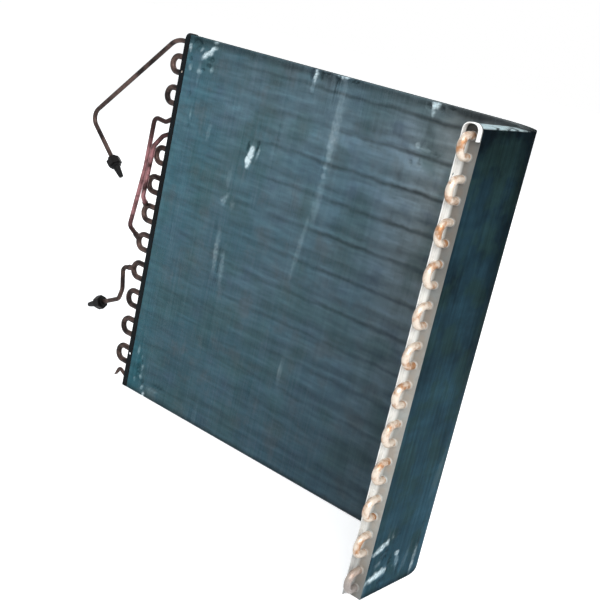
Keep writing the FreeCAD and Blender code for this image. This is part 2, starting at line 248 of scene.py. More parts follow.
def slab_place(distance):
    """Centre, direction along the row and outward side of the slab's middle line at each distance along it.

    The line runs straight along X, then round a quarter circle, then straight towards -Y.
    """
    turn = np.clip((distance - LEG_END) / BEND_RADIUS, 0, math.pi / 2)
    along = np.stack([np.cos(turn), -np.sin(turn), 0 * turn], -1)
    outward = np.stack([np.sin(turn), np.cos(turn), 0 * turn], -1)
    straight = np.minimum(distance, LEG_END)
    past = np.maximum(distance - SHORT_START, 0)
    x = straight + BEND_RADIUS * np.sin(turn)
    y = -BEND_RADIUS * (1 - np.cos(turn)) - past
    centre = np.stack([x, y, 0 * turn], -1)
    return centre, along, outward


def wander(distance, height, size):
    """A smooth random field of spread 1: ten plane sine waves of about one length, in random directions."""
    field = np.zeros(height.shape)
    for heading, start, stretch in rng.uniform((0, 0, 0.7), (math.pi, 2 * math.pi, 1.5), (10, 3)):
        along_wave = distance * math.cos(heading) + height * math.sin(heading)
        field += np.sin(2 * math.pi * along_wave / (size * stretch) + start)
    return field / math.sqrt(5)


def mark_field(distance, height, marks):
    """Sideways push, inward push and wear of the marked face: a sum of smooth bumps, one for each mark.
    Wear below nothing is black: dirt, and painted shade in the crushed fins' gaps.

    A bump is exp(-r^4), with r the distance from the mark's leaning axis in half-widths and half-heights.
    A field that wanders over 11 mm stretches r, so that no outline is a clean oval, and one over 4.5 mm
    tears the wear.
    """
    outline = np.exp(0.3 * np.clip(wander(distance, height, 11.0), -1.5, 1.5))
    tearing = 1 + 0.3 * wander(distance, height, 4.5)
    push, inward, wear_and_shade = (np.zeros(height.shape) for _ in range(3))
    for place, level, half_width, half_height, lean, sideways, deep, worn in marks:
        across = (distance - place - lean * (height - level)) / half_width
        up = (height - level) / half_height
        bump = np.exp(-((across ** 2 + up ** 2) * outline) ** 2)
        push += sideways * bump
        inward += deep * bump
        wear_and_shade += worn * bump * tearing
    return push, inward, wear_and_shade


def crosses(distance, mark):
    """True for the fins within 1.75 half-widths of a mark's leaning axis, which holds its ragged outline."""
    place, _, half_width, half_height, lean = mark[:5]
    return np.abs(distance - place) < 1.75 * half_width + abs(lean) * half_height


def fin_rows(distance, marks, count):
    """Heights of each fin's rows: even where the fin is straight and close together where a mark bends it.

    The density of rows is 1, and 14 exp(-u^4) more at a mark, with u the distance from it in 1.5
    half-heights. The rows stand where the running sum of the density reaches even steps.
    """
    fine = np.linspace(0, SLAB_HEIGHT, 600)
    density = np.ones((len(distance), fine.size))
    for mark in marks:
        level, half_height = mark[1], mark[3]
        near = np.where(crosses(distance, mark), 14.0, 0.0)
        density += near[:, None] * np.exp(-((fine - level) / (1.5 * half_height)) ** 4)
    total = np.cumsum(density, 1)
    total = (total - total[:, :1]) / (total[:, -1:] - total[:, :1])
    steps = np.linspace(0, 1, count)
    return np.stack([np.interp(steps, one, fine) for one in total])


def fin_faces(fins, rows, ring):
    """Faces of a bank of fins, and the material of each: 0 for the coat and 1 for a sheared edge.

    A wall joins a point of a ring and the next one to the same two in the row above, and three faces close
    each end of a fin. Walls 3 and 7 of the eight face outward and inward: there and at both ends the fin
    is sheared.
    """
    fin = np.arange(fins)[:, None, None] * rows * ring
    here = np.arange(ring)[None, None, :]
    after = (here + 1) % ring
    low = fin + np.arange(rows - 1)[None, :, None] * ring
    high = low + ring
    walls = np.stack([low + here, low + after, high + after, high + here], -1)
    caps = np.array([[0, 7, 6, 1], [1, 6, 5, 2], [2, 5, 4, 3]])
    bottom = fin + caps
    top = fin + (rows - 1) * ring + caps[:, ::-1]
    faces = np.concatenate([walls.reshape(-1, 4), bottom.reshape(-1, 4), top.reshape(-1, 4)])
    sheared = np.zeros(walls.shape[:-1], bool)
    sheared[..., [3, 7]] = True
    ends = np.ones(2 * fins * len(caps), bool)
    return faces, np.concatenate([sheared.ravel(), ends])


def fin_bank(name, distance, marks, face, count):
    """A bank of fins. Each is a thin upright sheet: a closed eight-point ring, carried up through its rows.

    A ring point lies outward by its depth, and along the row by half the thickness plus the fin's own
    ripple and the push of the marks, which is full at the marked edge and nearly nothing 3 mm behind it.
    """
    push_behind, wear_behind = 0.15, 0.3
    fin_ripple, row_ripple = 0.06, 0.03
    depths = np.array([-1.0, -0.72, 0.72, 1.0]) * HALF_DEPTH
    ring_depth = np.concatenate([depths, depths[::-1]])
    ring_side = np.repeat([0.5, -0.5], 4) * FIN_THICKNESS
    at_edge = np.abs(ring_depth) == HALF_DEPTH
    marked = np.sign(ring_depth) == face
    height = fin_rows(distance, marks, count)
    fins, rows = height.shape
    push, inward, wear_and_shade = mark_field(distance[:, None], height, marks)
    offset = ring_side - push[..., None] * marked * np.where(at_edge, 1.0, push_behind)
    for side in (HOLLOW_SIDE, OUTER_SIDE):
        ripple = fin_ripple * rng.standard_normal((fins, 1)) + row_ripple * rng.standard_normal((fins, rows))
        offset += ripple[..., None] * (at_edge & (np.sign(ring_depth) == side))
    depth = ring_depth - face * inward[..., None] * (marked & at_edge)
    wear_and_shade = np.clip(wear_and_shade[..., None] * marked * np.where(at_edge, 1.0, wear_behind), -1, 1)
    # the hollow side's dusty colour fades to a tenth round the bend, which paints the short leg's shade on
    # the bend's inside
    turned = np.clip((distance - LEG_END) / BEND_LENGTH, 0, 1)[:, None, None]
    hollow_side = np.broadcast_to((ring_depth < 0) * (1 - 0.9 * turned), depth.shape)
    centre, along, outward = slab_place(distance)
    points = (
        centre[:, None, None, :]
        + along[:, None, None, :] * offset[..., None]
        + outward[:, None, None, :] * depth[..., None]
    )
    points[..., 2] = height[..., None]
    faces, materials = fin_faces(fins, rows, ring_depth.size)
    piece = mesh_piece(name, points.reshape(-1, 3), faces)
    piece.data.polygons.foreach_set("material_index", materials.astype(np.int32))
    for attribute, values in (("wear_and_shade", wear_and_shade), ("hollow_side", hollow_side)):
        stored = piece.data.attributes.new(attribute, "FLOAT", "POINT")
        stored.data.foreach_set("value", values.astype(np.float32).ravel())
    return piece


def fin_stack(node, start, length, marks, face):
    """One stack of fins in place of its CAD node: the straight fins, and those that a mark has bent."""
    count = round(length / FIN_PITCH)
    distance = start + (np.arange(count) + 0.5) * length / count
    bent = np.any([crosses(distance, mark) for mark in marks], 0)
    for kind, chosen, rows in (("straight", ~bent, STRAIGHT_ROWS), ("bent", bent, BENT_ROWS)):
        piece = fin_bank(node + "_" + kind, distance[chosen], marks, face, rows)
        piece.data.materials.append(fin_stock)
        piece.data.materials.append(fin_edge)
        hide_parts(node)


def tube_faces(pieces, rows, steps):
    """Four-cornered faces of closed tubes, stored row by row; a row is a ring, the last meets the first."""
    piece = np.arange(pieces)[:, None, None] * rows * steps
    row = np.arange(rows)[None, :, None]
    here = np.arange(steps)[None, None, :]
    after = (here + 1) % steps
    low, high = piece + row * steps, piece + (row + 1) % rows * steps
    return np.stack([low + here, high + here, high + after, low + after], -1).reshape(-1, 4)


def fin_collars(node, start, end, places):
    """The fins' collars, which meet to make a sleeve on each tube: two circles carried along the slab.

    The circles are 0.05 and 0.2 mm off the tube, and stand at evenly spaced places.
    """
    steps = 14
    centre, _, outward = slab_place(np.linspace(start, end, places))
    turn = np.arange(steps) * 2 * math.pi / steps
    ring = outward[:, None, :] * np.cos(turn)[:, None] + UPWARD * np.sin(turn)[:, None]
    outside = centre[:, None, :] + (TUBE_RADIUS + 0.2) * ring
    inside = centre[:, None, :] + (TUBE_RADIUS + 0.05) * ring
    sleeve = np.concatenate([inside, outside[::-1]])
    points = sleeve[None] + TUBE_HEIGHTS[:, None, None, None] * UPWARD
    faces = tube_faces(TUBE_ROWS, 2 * places, steps)
    piece = mesh_piece(node + "_collars", points.reshape(-1, 3), faces)
    piece.data.materials.append(collar_metal)
    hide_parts(node)


# rings round the tubes

def tube_places(x, y):
    """A point at x and y for each tube, at the tube's height."""
    return np.array((x, y, 0.0)) + TUBE_HEIGHTS[:, None] * UPWARD


def ring_set(name, profile, centres, outward, finish):
    """Rings, one at each centre: a closed profile of (distance outward, radius) points, turned round."""
    steps = 20
    turn = np.arange(steps) * 2 * math.pi / steps
    ring = np.cos(turn)[:, None] * np.cross(outward, UPWARD) + np.sin(turn)[:, None] * UPWARD
    along, radius = np.array(profile).T[:, :, None, None]
    points = centres[:, None, None, :] + along * outward + radius * ring
    faces = tube_faces(len(centres), len(profile), steps)
    piece = mesh_piece(name, points.reshape(-1, 3), faces)
    piece.data.materials.append(finish)


# finishes

def dust_and_painted_light(tree, spot, x, z, up, drift, patch):
    """Colour of the hollow side: blue-green dust at the left and grey at the right, with painted light,
    palest at the top right.
    """
    across = add(tree, "MapRange", [x, 0.0, 0.50, 0.0, 1.0])
    greyer = add(tree, "Math", [across, drift], operation="ADD")
    grey = add(tree, "Mix", {"Factor": up, "A": "#6c94a8", "B": "#8da2ae"}, data_type="RGBA")
    dust_and_light = add(tree, "Mix", {"Factor": greyer, "A": "#5c8a99", "B": grey}, data_type="RGBA")
    # painted light: the colour is lighter higher up, most of all at the top right
    corner = add(tree, "Math", [across, up], operation="MULTIPLY")
    corner = add(tree, "MapRange", [corner, 0.0, 1.0, 0.0, 0.45])
    painted_lift = add(tree, "MapRange", [up, 0.0, 1.0, 0.82, 1.0])
    painted_lift = add(tree, "Math", [painted_lift, corner], operation="ADD")
    # painted light: it is paler towards both ends of the long leg; it is grey by the bend
    for end in ([x, 0.0, 0.08, 1.22, 1.0], [x, 0.40, 0.54, 1.0, 1.28]):
        paler = add(tree, "MapRange", end)
        painted_lift = add(tree, "Math", [painted_lift, paler], operation="MULTIPLY")
    by_bend = add(tree, "MapRange", [x, 0.42, 0.53, 0.0, 0.8])
    higher = add(tree, "MapRange", [z, 0.20, 0.42, 0.4, 1.0])
    by_bend = add(tree, "Math", [by_bend, higher], operation="MULTIPLY")
    dust_and_light = add(tree, "Mix", {"Factor": by_bend, "A": dust_and_light, "B": "#a3a8a6"}, data_type="RGBA")
    dust_and_light = add(tree, "VectorMath", {0: dust_and_light, "Scale": painted_lift}, operation="SCALE")
    # brown and blue-violet patches in the dust, and green clouds of 71 mm
    brown = add(tree, "MapRange", [patch, 0.53, 0.68, 0.0, 0.4])
    violet = add(tree, "MapRange", [patch, 0.46, 0.30, 0.0, 0.45])
    moss = add(tree, "TexNoise", {"Vector": spot, "Scale": per_metre(71.4), "Detail": 2.0, "Roughness": 0.5})
    moss = add(tree, "MapRange", [moss, 0.48, 0.62, 0.0, 0.45])
    # the clean blue-green of the lacquer, where the left plate shelters the foot
    sheltered = add(tree, "MapRange", [x, 0.015, 0.045, 0.75, 0.0])
    low = add(tree, "MapRange", [z, 0.06, 0.16, 1.0, 0.2])
    sheltered = add(tree, "Math", [sheltered, low], operation="MULTIPLY")
    for share, colour in ((brown, "#7d8488"), (violet, "#6a829b"), (moss, "#5b8385"), (sheltered, "#3f8795")):
        dust_and_light = add(tree, "Mix", {"Factor": share, "A": dust_and_light, "B": colour}, data_type="RGBA")
    return dust_and_light


def outer_coat_and_painted_bounce(tree, x, y, z, up, drift, patch):
    """Colour of the outer side: nearly clean, paler and greener towards the foot with dust and with painted
    light bounced up from the floor.
    """
    # painted light: the colour pales from the dark top towards the foot, as light bounced up from the floor
    upward = add(tree, "Math", [up, drift], operation="ADD")
    clean = add(tree, "Mix", {"Factor": upward, "A": "#40687a", "B": "#17232a"}, data_type="RGBA")
    green = add(tree, "MapRange", [patch, 0.46, 0.60, 0.0, 0.5])
    clean = add(tree, "Mix", {"Factor": green, "A": clean, "B": "#36514c"}, data_type="RGBA")
    # painted shade: it is darkest on the turn of the bend, above the lowest quarter, where the surface turns
    # away from the light
    turn = add(tree, "MapRange", [y, -0.092, -0.062, 0.0, 0.65])
    for limit in ([x, 0.575, 0.625, 0.0, 1.0], [z, 0.10, 0.40, 0.0, 1.0]):
        inside = add(tree, "MapRange", limit)
        turn = add(tree, "Math", [turn, inside], operation="MULTIPLY")
    turn = add(tree, "Math", [1.0, turn], operation="SUBTRACT")
    return add(tree, "VectorMath", {0: clean, "Scale": turn}, operation="SCALE")


def dust_shades(tree, spot, side, run, band):
    """Shades of light and dark runs, stronger on the outer side, of level bands and of level streaks."""
    least = add(tree, "MapRange", [side, 0.0, 1.0, 0.82, 0.97])
    most = add(tree, "MapRange", [side, 0.0, 1.0, 1.20, 1.03])
    # the streaks are on the hollow side, 6 mm high and 36 mm long
    streaks = add(
        tree, "Mapping",
        {"Vector": spot, "Scale": [per_metre(35.7), per_metre(35.7), per_metre(6.25)]},
    )
    streak = add(tree, "TexNoise", {"Vector": streaks, "Scale": 1.0, "Detail": 2.0, "Roughness": 0.5})
    streak = add(tree, "MapRange", [streak, 0.3, 0.7, -0.15, 0.15])
    return [
        add(tree, "MapRange", [run, 0.3, 0.7, least, most]),
        add(tree, "MapRange", [band, 0.3, 0.7, 0.88, 1.12]),
        add(tree, "Math", [streak, side, 1.0], operation="MULTIPLY_ADD"),
    ]


def hairpin_shades(tree, spot, x, z, side, band):
    """Painted shade of two dark lines for each hairpin, broken, and wavy over 45 mm, on the hollow side.

    A sharp one runs between hairpins, strongest to the right and high up, and a broad faint one 17 mm
    above it. Each fades out smoothly from its middle.
    """
    wave = add(tree, "TexNoise", {"Vector": spot, "Scale": per_metre(45.5), "Detail": 3.0, "Roughness": 0.6})
    first_line = add(tree, "MapRange", [wave, 0.3, 0.7, 0.0290, 0.0244])
    broken = add(tree, "MapRange", [band, 0.35, 0.65, 0.5, 1.3])
    broken = add(tree, "Math", [broken, side], operation="MULTIPLY")
    sharp = add(tree, "MapRange", [x, 0.0, 0.50, 0.04, 0.44])
    sharper = add(tree, "MapRange", [z, 0.02, 0.45, 0.45, 1.5])
    sharp = add(tree, "Math", [sharp, sharper], operation="MULTIPLY")
    broad = add(tree, "MapRange", [x, 0.0, 0.40, 0.13, 0.27])
    shades = []
    for depth, height, half_line in ((sharp, 0.0, 6.2), (broad, 17.0, 11.0)):
        depth = add(tree, "Math", [depth, broken], operation="MULTIPLY")
        level = add(tree, "Math", [z, first_line], operation="SUBTRACT")
        level = add(tree, "Math", [level, height * MM], operation="SUBTRACT")
        away = add(tree, "Math", [level, TUBE_PITCH * MM], operation="PINGPONG")
        fading = [away, 0.0, half_line * MM, depth, 0.0]
        line = add(tree, "MapRange", fading, interpolation_type="SMOOTHSTEP")
        shades.append(add(tree, "Math", [1.0, line], operation="SUBTRACT", use_clamp=True))
    return shades


def edge_shades(tree, x, z, side, patch):
    """Shades of the top of the slab, its upper edge and its foot.

    The top 60 mm is darker, most of all by the bend, where painted shade stands for the short leg's shadow.
    Its edge is darker still: dirt, most of all at the left; painted shade by the bend; and, less dark, the
    painted shadow under the bright strip on the outer side. A thin dark line runs along the foot.
    """
    # the top is darker, and painted shade darkens it more by the bend
    top_darkening = add(tree, "MapRange", [x, 0.44, 0.53, 0.82, 0.66])
    ragged = add(tree, "MapRange", [patch, 0.3, 0.7, -0.003, 0.003])
    ragged = add(tree, "Math", [z, ragged], operation="ADD")
    edge_darkening = add(tree, "MapRange", [x, 0.10, 0.45, 0.45, 0.66])
    # painted shade of the short leg on the bend's inside
    bend_shade = add(tree, "MapRange", [x, 0.46, 0.52, 1.0, 0.35])
    edge_darkening = add(tree, "Math", [edge_darkening, bend_shade], operation="MULTIPLY")
    # on the outer side the edge takes the painted shadow under the bright strip
    edge_darkening = add(tree, "MapRange", [side, 0.0, 1.0, 0.75, edge_darkening])
    return [
        add(tree, "MapRange", [z, 0.530, 0.580, 1.0, top_darkening]),
        add(tree, "MapRange", [ragged, 0.5970, 0.6050, 1.0, edge_darkening]),
        add(tree, "MapRange", [z, 0.002, 0.009, 0.4, 1.0]),
    ]


def painted_top_highlight(tree, spot, y, z):
    """Share of the painted highlight on the fins' top ends along the short leg, partly bare: deepest at the
    end plate, in spots.
    """
    falling = add(tree, "MapRange", [y, -0.184, -0.110, 0.6062, 0.6076])
    top_highlight = add(tree, "Math", [z, falling], operation="SUBTRACT")
    top_highlight = add(tree, "MapRange", [top_highlight, 0.0, 0.0015, 0.0, 0.9])
    short_leg = add(tree, "MapRange", [y, -0.070, -0.088, 0.0, 1.0])
    # the spots are 12 mm across
    spots = add(tree, "TexNoise", {"Vector": spot, "Scale": per_metre(12.5), "Detail": 2.0, "Roughness": 0.5})
    spots = add(tree, "MapRange", [spots, 0.38, 0.48, 0.15, 1.0])
    for share in (short_leg, spots):
        top_highlight = add(tree, "Math", [top_highlight, share], operation="MULTIPLY")
    return top_highlight


def coated_fin_stock():
    """Aluminium fin stock, rolled and lacquered: matt blue-green, under grey dust on the hollow side, with
    light and shade painted in.

    The places of x, y and z are in metres, in the functions above too.
    """
    made, tree = material("coated_fin_stock")
    spot = add(tree, "TexCoord").outputs["Object"]
    x, y, z = add(tree, "SeparateXYZ", [spot]).outputs
    side = add(tree, "Attribute", attribute_name="hollow_side").outputs["Fac"]
    wear_and_shade = add(tree, "Attribute", attribute_name="wear_and_shade").outputs["Fac"]
    # runs of dust 5 mm wide and 143 mm long, and level bands 18 mm high
    runs = add(tree, "Mapping", {"Vector": spot, "Scale": [per_metre(5), per_metre(5), per_metre(143)]})
    run = add(tree, "TexNoise", {"Vector": runs, "Scale": 1.0, "Detail": 2.0, "Roughness": 0.5})
    bands = add(tree, "Mapping", {"Vector": spot, "Scale": [per_metre(143), per_metre(143), per_metre(18.2)]})
    band = add(tree, "TexNoise", {"Vector": bands, "Scale": 1.0, "Detail": 3.0, "Roughness": 0.6})
    # clouds of 100 mm, patches of 40 mm and specks of 5 mm
    cloud = add(tree, "TexNoise", {"Vector": spot, "Scale": per_metre(100), "Detail": 4.0, "Roughness": 0.6})
    patch = add(tree, "TexNoise", {"Vector": spot, "Scale": per_metre(40), "Detail": 3.0, "Roughness": 0.6})
    speck = add(tree, "TexNoise", {"Vector": spot, "Scale": per_metre(5), "Detail": 2.0, "Roughness": 0.6})
    # the colours of both sides change with the height, partly as painted light, and the clouds shift that
    # change
    up = add(tree, "MapRange", [z, 0.0, 0.60, 0.0, 1.0])
    drift = add(tree, "MapRange", [cloud, 0.38, 0.62, -0.2, 0.2])
    # both colours hold painted light: bounced up from the floor on the outer side, palest at the top right on
    # the hollow side
    clean = outer_coat_and_painted_bounce(tree, x, y, z, up, drift, patch)
    dust_and_light = dust_and_painted_light(tree, spot, x, z, up, drift, patch)
    coat = add(tree, "Mix", {"Factor": side, "A": clean, "B": dust_and_light}, data_type="RGBA")
    dust = dust_shades(tree, spot, side, run, band)
    lines = hairpin_shades(tree, spot, x, z, side, band)
    edges = edge_shades(tree, x, z, side, patch)
    for shade in dust + lines + edges:
        coat = add(tree, "VectorMath", {0: coat, "Scale": shade}, operation="SCALE")
    # marks: black, from dirt and painted shade, where the wear is below nothing, and bare metal where it is
    # above, both torn by specks
    torn = add(tree, "MapRange", [speck, 0.35, 0.6, 0.75, 1.3])
    wear_and_shade = add(tree, "Math", [wear_and_shade, torn], operation="MULTIPLY")
    dirt_and_shade = add(tree, "MapRange", [wear_and_shade, 0.0, -1.0, 0.0, 0.85])
    bare = add(tree, "MapRange", [wear_and_shade, 0.0, 1.0, 0.0, 1.0])
    # the painted highlight on the fins' top ends along the short leg
    top_highlight = painted_top_highlight(tree, spot, y, z)
    for share, colour in ((top_highlight, "#d0e4e8"), (dirt_and_shade, "#0a1418"), (bare, "#def0f5")):
        coat = add(tree, "Mix", {"Factor": share, "A": coat, "B": colour}, data_type="RGBA")
    # higher up, the shine is taken off the outer side
    shine = add(tree, "MapRange", [z, 0.20, 0.45, 0.25, 0.04])
    shine = add(tree, "MapRange", [side, 0.0, 1.0, shine, 0.25])
    shader = add(tree, "BsdfPrincipled", {"Base Color": coat, "Roughness": 0.6, "Specular IOR Level": shine})
    add(tree, "OutputMaterial", {"Surface": shader})
    return made


def cut_fin_edge():
    """Fin stock's sheared edge: a hairline of bare aluminium, dulled by oxide, with painted shade higher up
    on the outer side.
    """
    made, tree = material("cut_fin_edge")
    spot = add(tree, "TexCoord").outputs["Object"]
    side = add(tree, "Attribute", attribute_name="hollow_side").outputs["Fac"]
    wear_and_shade = add(tree, "Attribute", attribute_name="wear_and_shade").outputs["Fac"]
    # worn runs 2.5 mm wide and 83 mm long
    runs = add(tree, "Mapping", {"Vector": spot, "Scale": [per_metre(2.5), per_metre(2.5), per_metre(83.3)]})
    run = add(tree, "TexNoise", {"Vector": runs, "Scale": 1.0, "Detail": 3.0, "Roughness": 0.6})
    worn = add(tree, "MapRange", [run, 0.3, 0.72, 0.0, 0.8])
    worn = add(tree, "Math", [worn, side], operation="MULTIPLY")
    worn = add(tree, "Math", [worn, wear_and_shade], operation="ADD", use_clamp=True)
    colour = add(tree, "Mix", {"Factor": worn, "A": "#1b2c34", "B": "#a9b9c1"}, data_type="RGBA")
    # painted shade: higher up the outer side is darker, where less light bounces up from the floor, and its
    # shine is taken off
    height = add(tree, "SeparateXYZ", [spot]).outputs["Z"]
    painted_upper_shade = add(tree, "MapRange", [height, 0.20, 0.45, 1.0, 0.4])
    painted_upper_shade = add(tree, "MapRange", [side, 0.0, 1.0, painted_upper_shade, 1.0])
    colour = add(tree, "VectorMath", {0: colour, "Scale": painted_upper_shade}, operation="SCALE")
    shine = add(tree, "MapRange", [painted_upper_shade, 0.4, 1.0, 0.04, 0.25])
    shader = add(
        tree, "BsdfPrincipled",
        {"Base Color": colour, "Metallic": 0.1, "Roughness": 0.6, "Specular IOR Level": shine},
    )
    add(tree, "OutputMaterial", {"Surface": shader})
    return made


def galvanised_sheet():
    """Hot-dipped galvanised steel, folded: pale zinc, faintly spangled, its web stained by flux and soot,
    with painted shade and highlights.
    """
    made, tree = material("galvanised_sheet")
    spot = add(tree, "TexCoord").outputs["Object"]
    x, y, z = add(tree, "SeparateXYZ", [spot]).outputs
    # zinc crystals 7 mm across, each a little lighter or darker
    spangle = add(tree, "TexVoronoi", {"Vector": spot, "Scale": per_metre(7.14)}).outputs["Color"]
    crystal = add(tree, "MapRange", [spangle, 0.0, 1.0, 0.94, 1.06])
    # flux stains 20 mm across, gathered along the tubes
    cloud = add(tree, "TexNoise", {"Vector": spot, "Scale": per_metre(20), "Detail": 5.0, "Roughness": 0.6})
    stain = add(tree, "MapRange", [cloud, 0.36, 0.58, 0.0, 1.0])
    middle = add(tree, "Math", [x, SHORT_LEG_X * MM], operation="SUBTRACT")
    middle = add(tree, "Math", [middle], operation="ABSOLUTE")
    middle = add(tree, "MapRange", [middle, 0.004, 0.010, 0.7, 0.15])
    stain = add(tree, "Math", [stain, middle], operation="MULTIPLY")
    web = add(tree, "Mix", {"Factor": stain, "A": "#9c9f9c", "B": "#a6998b"}, data_type="RGBA")
    # the upper half is duller, with soot and painted shade under the rounded top
    soot_and_rim_shade = add(tree, "MapRange", [z, 0.585, 0.603, 1.0, 0.2])
    dull = add(tree, "MapRange", [z, 0.28, 0.45, 1.0, 0.45])
    soot_and_rim_shade = add(tree, "Math", [soot_and_rim_shade, dull], operation="MULTIPLY")
    web = add(tree, "VectorMath", {0: web, "Scale": soot_and_rim_shade}, operation="SCALE")
    # the lips, past the web, are pale zinc with a painted highlight, and the side of the web next to the long
    # lip is a painted highlight
    lip = add(tree, "MapRange", [y, -0.1862, -0.1876, 0.0, 1.0])
    highlight_beside_lip = add(tree, "MapRange", [x, 0.6335, 0.6380, 0.9, 0.0])
    below_top = add(tree, "MapRange", [z, 0.585, 0.600, 1.0, 0.0])
    highlight_beside_lip = add(tree, "Math", [highlight_beside_lip, below_top], operation="MULTIPLY")
    zinc_and_highlight = add(tree, "Math", [lip, highlight_beside_lip], operation="MAXIMUM")
    colour = add(tree, "Mix", {"Factor": zinc_and_highlight, "A": web, "B": "#f4f4f1"}, data_type="RGBA")
    # the foot is darker
    darker_foot = add(tree, "MapRange", [z, 0.0, 0.11, 0.55, 1.0])
    crystal = add(tree, "Math", [crystal, darker_foot], operation="MULTIPLY")
    colour = add(tree, "VectorMath", {0: colour, "Scale": crystal}, operation="SCALE")
    # the zinc's grain, drawn 1.4 mm coarse so that it shows
    grain = add(tree, "TexNoise", {"Vector": spot, "Scale": per_metre(1.43), "Detail": 3.0, "Roughness": 0.6})
    rough = add(tree, "MapRange", [grain, 0.3, 0.7, 0.38, 0.60])
    bump = add(tree, "Bump", {"Height": grain, "Strength": 0.12, "Distance": 0.3 * MM})
    shader = add(
        tree, "BsdfPrincipled",
        {"Base Color": colour, "Metallic": 0.15, "Roughness": rough, "Normal": bump},
    )
    add(tree, "OutputMaterial", {"Surface": shader})
    return made


def metal_finish(
    name, clean, stained, grit, stain_size, roughness, metallic,
    amount=(0.42, 0.62), gloss=0.5, heights=None, beyond=None,
):
    """A surface with clouded stains and a grain that its roughness follows, both of a size in millimetres.

    A stain fades in between the two noise values of the amount. The grain is drawn coarser than the real
    one, so that it shows. Where two heights are given, these colours show only between them, and another
    one beyond.
    """
    made, tree = material(name)
    spot = add(tree, "TexCoord").outputs["Object"]
    stain = add(
        tree, "TexNoise",
        {"Vector": spot, "Scale": per_metre(stain_size), "Detail": 5.0, "Roughness": 0.6},
    )
    share = add(tree, "MapRange", [stain, amount[0], amount[1], 0.0, 1.0])
    colour = add(tree, "Mix", {"Factor": share, "A": clean, "B": stained}, data_type="RGBA")
    if heights:
        fade = 20 * MM
        lower, upper = heights
        height = add(tree, "SeparateXYZ", [spot]).outputs["Z"]
        below = add(tree, "MapRange", [height, lower - fade, lower + fade, 1.0, 0.0])
        above = add(tree, "MapRange", [height, upper - fade, upper + fade, 0.0, 1.0])
        outside = add(tree, "Math", [below, above], operation="MAXIMUM")
        colour = add(tree, "Mix", {"Factor": outside, "A": colour, "B": beyond}, data_type="RGBA")
    grain = add(tree, "TexNoise", {"Vector": spot, "Scale": per_metre(grit), "Detail": 3.0, "Roughness": 0.6})
    rough = add(tree, "MapRange", [grain, 0.3, 0.7, roughness * 0.75, roughness * 1.3])
    bump = add(tree, "Bump", {"Height": grain, "Strength": 0.15, "Distance": 0.3 * MM})
    shader = add(
        tree, "BsdfPrincipled",
        {
            "Base Color": colour, "Metallic": metallic, "Roughness": rough, "Normal": bump,
            "Specular IOR Level": gloss,
        },
    )
    add(tree, "OutputMaterial", {"Surface": shader})
    return made


# the slab
fin_stock, fin_edge = coated_fin_stock(), cut_fin_edge()
# the collars of the fins, deep between them: aluminium under thin dust
collar_metal = metal_finish("fin_collar_aluminium", "#9aa5aa", "#5b6a70", 0.5, 8.0, 0.5, 0.3, gloss=0.4)
fin_stack("fins_long_leg", 0.0, LEG_END, LONG_LEG_MARKS, HOLLOW_SIDE)
fin_stack("fins_bend", LEG_END, BEND_LENGTH, BEND_MARKS, OUTER_SIDE)
fin_stack("fins_short_leg", SHORT_START, SHORT_LENGTH, SHORT_LEG_MARKS, OUTER_SIDE)
# two places make a straight sleeve, and thirteen the quarter turn
fin_collars("fins_long_leg", SLEEVE_INSET, LEG_END, 2)
fin_collars("fins_bend", LEG_END, SHORT_START, 13)
fin_collars("fins_short_leg", SHORT_START, SHORT_START + SHORT_LENGTH - SLEEVE_INSET, 2)

# drawn copper tube at the closed ends: bright, peach-coloured, with brown heat stains; the lowest ends are
# grey with damp dust
bright_copper = metal_finish(
    "bright_drawn_copper", "#dccdbd", "#a97850", 0.8, 16.0, 0.32, 0.4, (0.46, 0.62),
    heights=(0.045, 1.0), beyond="#9a918c",
)
# copper at the brazed end: dark brown-pink oxide left by the torch
torched_copper = metal_finish("torched_copper", "#614e48", "#201817", 0.9, 24.0, 0.45, 0.6, (0.36, 0.58), 0.3)
# the two loops between the bends are red on their straight runs, away from the heat of the torch
reddened_copper = metal_finish(
    "reddened_copper", "#a07073", "#33211f", 0.9, 18.0, 0.40, 0.6, (0.42, 0.66), 0.3,
    heights=(0.285, 0.425), beyond="#33211f",
)
# zinc-coated steel sheet: pale grey with tan stains
galvanised = galvanised_sheet()
# the left plate is nearly black
dark_plate = metal_finish("near_black_steel", "#0c1418", "#07090a", 1.5, 20.0, 0.7, 0.0, gloss=0.12)
# blackened brass of the flare nuts
black_brass = metal_finish("blackened_brass", "#121010", "#080707", 0.8, 8.0, 0.5, 0.0, gloss=0.15)
# moulded plastic of the plugs, black and slightly glossy
black_plastic = metal_finish("black_moulded_plastic", "#0e0e0f", "#080809", 0.6, 10.0, 0.5, 0.0, gloss=0.15)
# yellow-brown brazing alloy, with dark scale
brazing_alloy = metal_finish("brazing_alloy", "#8a7355", "#3a2c22", 0.6, 3.0, 0.40, 0.5, gloss=0.4)

# rings round the tubes: the collars drawn out of both end plates, and the braze at the mouths of the bells
COLLAR = [(-0.1, 4.80), (-0.1, 6.6), (0.4, 6.5), (1.2, 5.5), (1.4, 5.1), (1.3, 4.80)]
BEND_BRAZE = [(-0.1, 4.70), (-0.1, 5.8), (0.35, 5.45), (0.8, 5.15), (1.6, 4.82), (1.6, 4.70)]
THIN_BRAZE = [(-0.1, 3.90), (-0.1, 5.8), (0.35, 5.2), (0.8, 4.7), (1.6, 4.1), (1.6, 3.90)]
LEFTWARD, PAST_SHORT_LEG = np.array((-1.0, 0.0, 0.0)), np.array((0.0, -1.0, 0.0))
left_web = tube_places(-PLATE_THICKNESS, 0.0)
right_web = tube_places(SHORT_LEG_X, SHORT_END - PLATE_THICKNESS)
mouths = tube_places(-BELL_REACH, 0.0)
thin_pipes = np.isin(np.arange(TUBE_ROWS), THIN_PIPE_TUBES)
